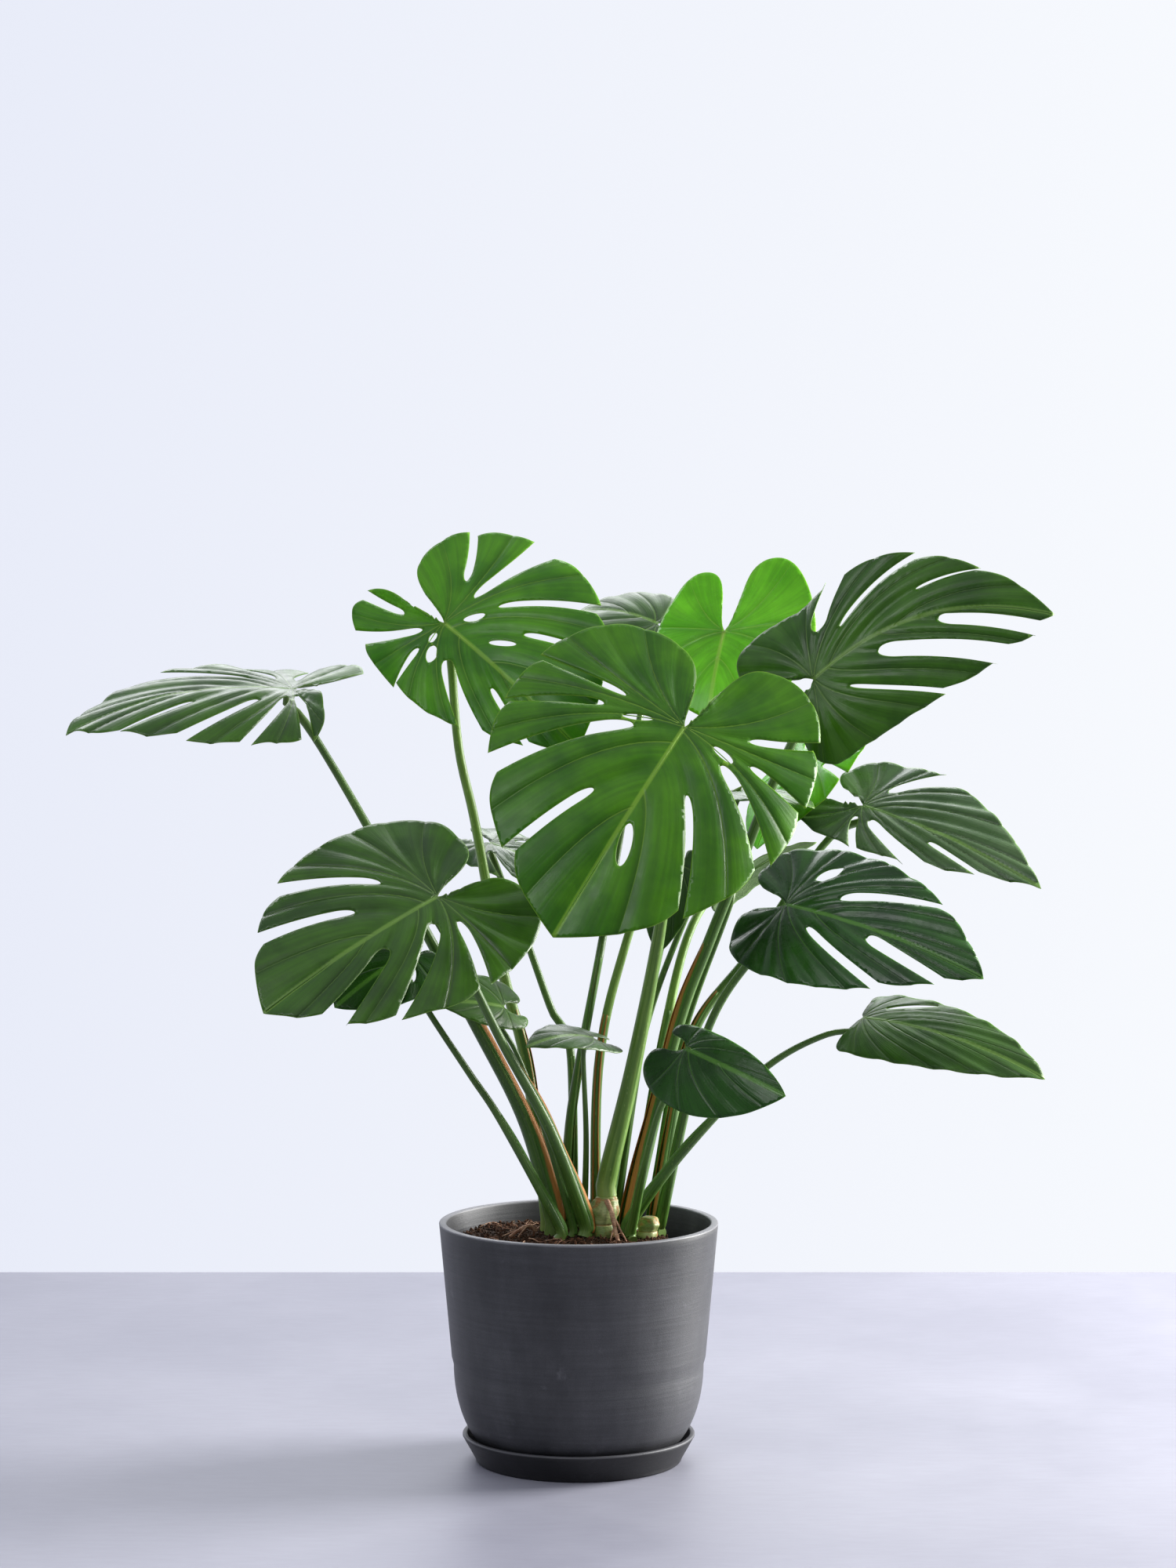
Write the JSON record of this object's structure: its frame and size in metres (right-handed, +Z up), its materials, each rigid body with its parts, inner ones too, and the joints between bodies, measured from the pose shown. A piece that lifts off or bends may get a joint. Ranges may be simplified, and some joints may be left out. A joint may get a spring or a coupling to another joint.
{
  "type": "potted monstera plant",
  "caption": "Split-leaf monstera in a tapered round charcoal pot with a matching saucer; arching green stalks carry large slit and holed leaves over bare soil.",
  "frame": {"origin": "middle of the saucer's flat underside, on the surface that it stands on", "axes": "+Z up the pot's axis, -Y towards the plant's front, +X to its right as seen from the front"},
  "size_m": [1.0448, 0.5432, 0.998],
  "materials": {
    "dark_clay": "matt",
    "charcoal_clay": "matt, faintly mottled",
    "potting_soil": "loose crumbs and bark",
    "green_stem": "smooth, ringed",
    "aerial_root": "dry skin",
    "stalk_green": "smooth, waxy",
    "leaf_mature": "waxy sheen",
    "leaf_bright": "waxy sheen",
    "leaf_dark": "glossy",
    "leaf_young": "glossy",
    "leaf_silvery": "waxy sheen"
  },
  "bodies": {
    "root": {"saucer": "dark_clay", "pot": "charcoal_clay", "soil": "potting_soil", "stem_main": "green_stem", "stem_right": "green_stem", "root_front": "aerial_root", "root_side": "aerial_root", "leaf_front_centre": "leaf_bright", "stalk_front_centre": "stalk_green", "leaf_upper_left": "leaf_bright", "stalk_upper_left": "stalk_green", "leaf_far_left": "leaf_mature", "stalk_far_left": "stalk_green", "leaf_lower_left": "leaf_mature", "stalk_lower_left": "stalk_green", "leaf_upper_right": "leaf_mature", "stalk_upper_right": "stalk_green", "leaf_upper_back": "leaf_young", "stalk_upper_back": "stalk_green", "leaf_back_left": "leaf_mature", "stalk_back_left": "stalk_green", "leaf_right": "leaf_silvery", "stalk_right": "stalk_green", "leaf_lower_right": "leaf_dark", "stalk_lower_right": "stalk_green", "leaf_low_right": "leaf_mature", "stalk_low_right": "stalk_green", "leaf_small_front": "leaf_dark", "stalk_small_front": "stalk_green", "leaf_inner_left": "leaf_dark", "stalk_inner_left": "stalk_green", "leaf_small_left": "leaf_mature", "stalk_small_left": "stalk_green", "leaf_middle_left": "leaf_silvery", "stalk_middle_left": "stalk_green", "leaf_small_middle": "leaf_silvery", "stalk_small_middle": "stalk_green", "leaf_back_right": "leaf_young", "stalk_back_right": "stalk_green", "leaf_inner_right": "leaf_silvery", "stalk_inner_right": "stalk_green", "leaf_under_right": "leaf_mature", "stalk_under_right": "stalk_green", "leaf_small_right": "leaf_mature", "stalk_small_right": "stalk_green"}
  },
  "joints": []
}
